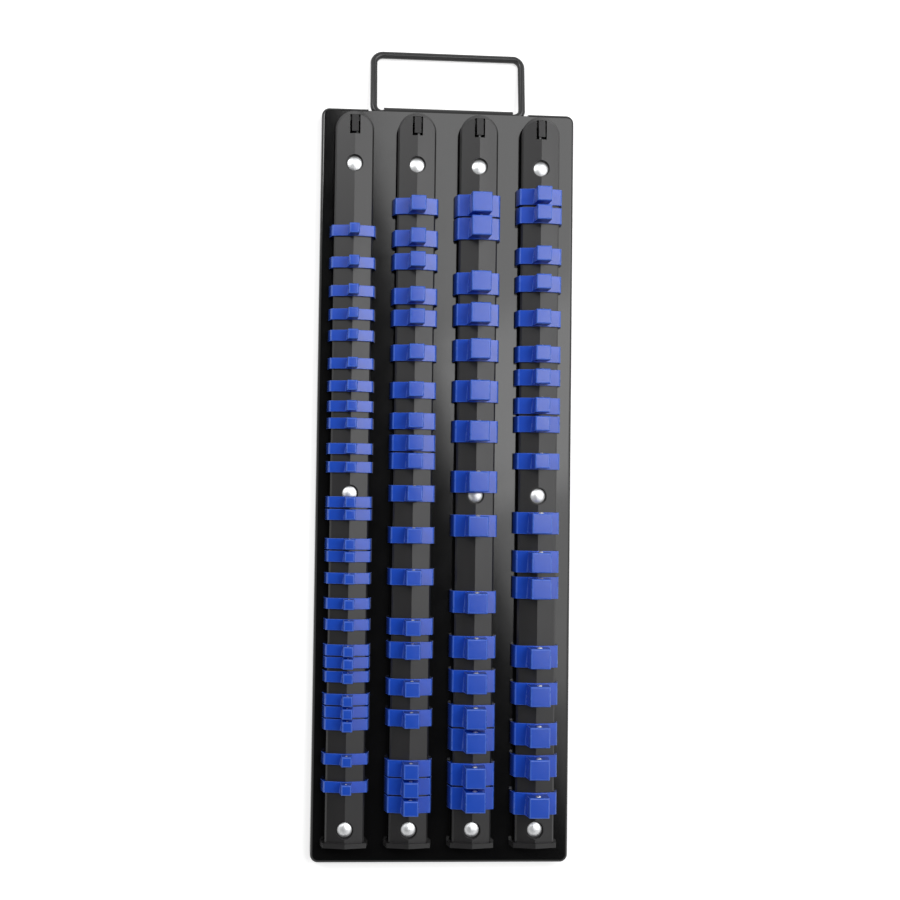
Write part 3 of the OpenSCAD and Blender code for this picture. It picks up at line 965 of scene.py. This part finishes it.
class SOCKETTRAY_OT_pan(bpy.types.Operator):
    """Paint the sheet-steel pan"""

    bl_idname = "sockettray.pan"
    bl_label = "Pan"

    def execute(self, context):
        paint_node("pan", pan_paint(context.scene.socket_tray.finish))
        return {"FINISHED"}


class SOCKETTRAY_OT_rails(bpy.types.Operator):
    """Finish the moulded rails and their latch tongues"""

    bl_idname = "sockettray.rails"
    bl_label = "Rails and Latches"

    def execute(self, context):
        material = rail_plastic(context.scene.socket_tray.finish)
        for rail in "1234":
            paint_node(f"rail_{rail}", material)
            paint_node(f"latch_{rail}", material)
        return {"FINISHED"}


class SOCKETTRAY_OT_rivets(bpy.types.Operator):
    """Plate the rivets"""

    bl_idname = "sockettray.rivets"
    bl_label = "Rivets"

    def execute(self, context):
        paint_node("rivets", rivet_plating(context.scene.socket_tray.finish))
        return {"FINISHED"}


# ---------------------------------------------------------------- stage


def floor_material(lift):
    """White that lies a little brighter in the picture than its light makes it."""
    material = bpy.data.materials.new("white_floor")
    material.use_nodes = True
    tree = material.node_tree
    shader = tree.nodes["Principled BSDF"]
    shader.inputs["Base Color"].default_value = (0.8, 0.8, 0.8, 1)
    shader.inputs["Roughness"].default_value = 0.9
    shader.inputs["Specular IOR Level"].default_value = 0.0
    path = tree.nodes.new("ShaderNodeLightPath")
    seen = math_node(tree, "MAXIMUM", path.outputs["Is Camera Ray"], path.outputs["Is Glossy Ray"])
    seen = math_node(tree, "MAXIMUM", seen, path.outputs["Is Transmission Ray"])
    shader.inputs["Emission Color"].default_value = (1, 1, 1, 1)
    tree.links.new(math_node(tree, "MULTIPLY", seen, lift), shader.inputs["Emission Strength"])
    return material


def room(scene, stage):
    """A white room in the picture, with a dim ceiling for glossy surfaces and soft light for dull ones."""
    world = bpy.data.worlds.new("room")
    scene.world = world
    world.use_nodes = True
    world.cycles.sampling_method = "NONE"
    tree = world.node_tree
    path = tree.nodes.new("ShaderNodeLightPath")
    place = tree.nodes.new("ShaderNodeTexCoord")
    split = tree.nodes.new("ShaderNodeSeparateXYZ")
    tree.links.new(place.outputs["Generated"], split.inputs[0])
    wall = tree.nodes.new("ShaderNodeMapRange")
    wall.interpolation_type = "SMOOTHSTEP"
    wall.inputs["From Min"].default_value = math.cos(stage.ceiling_reach)
    wall.inputs["From Max"].default_value = math.cos(stage.wall_start)
    wall.inputs["To Min"].default_value = stage.ceiling
    wall.inputs["To Max"].default_value = 1.0
    tree.links.new(split.outputs["Z"], wall.inputs["Value"])
    glossy = math_node(tree, "MULTIPLY", path.outputs["Is Glossy Ray"], wall.outputs[0])
    clear = math_node(tree, "MAXIMUM", path.outputs["Is Camera Ray"], path.outputs["Is Transmission Ray"])
    dull = math_node(tree, "SUBTRACT", 1.0, path.outputs["Is Glossy Ray"])
    dull = math_node(tree, "MULTIPLY", dull, stage.fill)
    strength = math_node(tree, "MAXIMUM", math_node(tree, "MAXIMUM", glossy, clear), dull)
    background = tree.nodes["Background"]
    background.inputs["Color"].default_value = (1, 1, 1, 1)
    tree.links.new(strength, background.inputs["Strength"])


def soft_light(name, middle, height, size, turn, radiance):
    """A rectangular lamp that shines straight down, as bright all over its face as radiance says."""
    bpy.ops.object.light_add(type="AREA", location=(*middle, height), rotation=(0, 0, turn))
    light = bpy.context.object
    light.name = name
    light.data.shape = "RECTANGLE"
    light.data.size, light.data.size_y = size
    light.data.energy = radiance * math.pi * size[0] * size[1]


def camera(scene, stage):
    """The camera that took the picture."""
    bpy.ops.object.camera_add(location=stage.camera_place, rotation=stage.camera_turn)
    view = bpy.context.object
    view.name = "camera"
    view.data.lens = stage.camera_lens
    view.data.sensor_width = 36
    view.data.shift_x, view.data.shift_y = stage.camera_shift
    view.data.clip_start = 0.01
    scene.camera = view


class SOCKETTRAY_OT_stage(bpy.types.Operator):
    """Set up the camera, the white floor, the room and the soft light"""

    bl_idname = "sockettray.stage"
    bl_label = "Stage"

    def execute(self, context):
        scene = context.scene
        stage = scene.socket_tray.stage
        scene.view_settings.view_transform = "Standard"
        camera(scene, stage)
        # Lamps at one height would hide each other where they overlap, so each hangs a step lower
        for step, name in enumerate(("key", "belt", "low", "side")):
            middle, size, turn, radiance = (
                getattr(stage, f"{name}_{part}") for part in ("middle", "size", "turn", "radiance"))
            height = stage.lamp_height - step * stage.lamp_step
            soft_light(f"{name}_light", middle, height, size, turn, radiance)
        room(scene, stage)
        bpy.ops.mesh.primitive_plane_add(size=stage.floor_size, location=(0, 0, CAD_LOW.z))
        floor = context.object
        floor.name = "floor"
        floor.data.materials.append(floor_material(stage.floor_lift))
        return {"FINISHED"}


# ---------------------------------------------------------------- panel and registration


OPERATORS = (
    SOCKETTRAY_OT_stage, SOCKETTRAY_OT_pan, SOCKETTRAY_OT_rails, SOCKETTRAY_OT_rivets,
    SOCKETTRAY_OT_clips, SOCKETTRAY_OT_catches, SOCKETTRAY_OT_handle)


class SOCKETTRAY_PT_panel(bpy.types.Panel):
    """Sizes, finishes and steps of the socket tray"""

    bl_label = "Socket Tray"
    bl_idname = "SOCKETTRAY_PT_panel"
    bl_space_type = "VIEW_3D"
    bl_region_type = "UI"
    bl_category = "Socket Tray"

    def draw(self, context):
        settings = context.scene.socket_tray
        for operator in OPERATORS:
            self.layout.operator(operator.bl_idname)
        for group in (settings.clips, settings.wire, settings.finish, settings.stage):
            box = self.layout.box()
            for name in group.__annotations__:
                box.prop(group, name)


CLASSES = (
    SOCKETTRAY_PG_clips, SOCKETTRAY_PG_wire, SOCKETTRAY_PG_finish, SOCKETTRAY_PG_stage,
    SOCKETTRAY_PG_settings, *OPERATORS, SOCKETTRAY_PT_panel)


def register():
    for cls in CLASSES:
        bpy.utils.register_class(cls)
    bpy.types.Scene.socket_tray = bpy.props.PointerProperty(type=SOCKETTRAY_PG_settings)


def unregister():
    del bpy.types.Scene.socket_tray
    for cls in reversed(CLASSES):
        bpy.utils.unregister_class(cls)


def main():
    register()
    bpy.ops.sockettray.stage()
    bpy.ops.sockettray.pan()
    bpy.ops.sockettray.rails()
    bpy.ops.sockettray.rivets()
    bpy.ops.sockettray.clips()
    bpy.ops.sockettray.catches()
    bpy.ops.sockettray.handle()


if __name__ == "__main__":
    main()
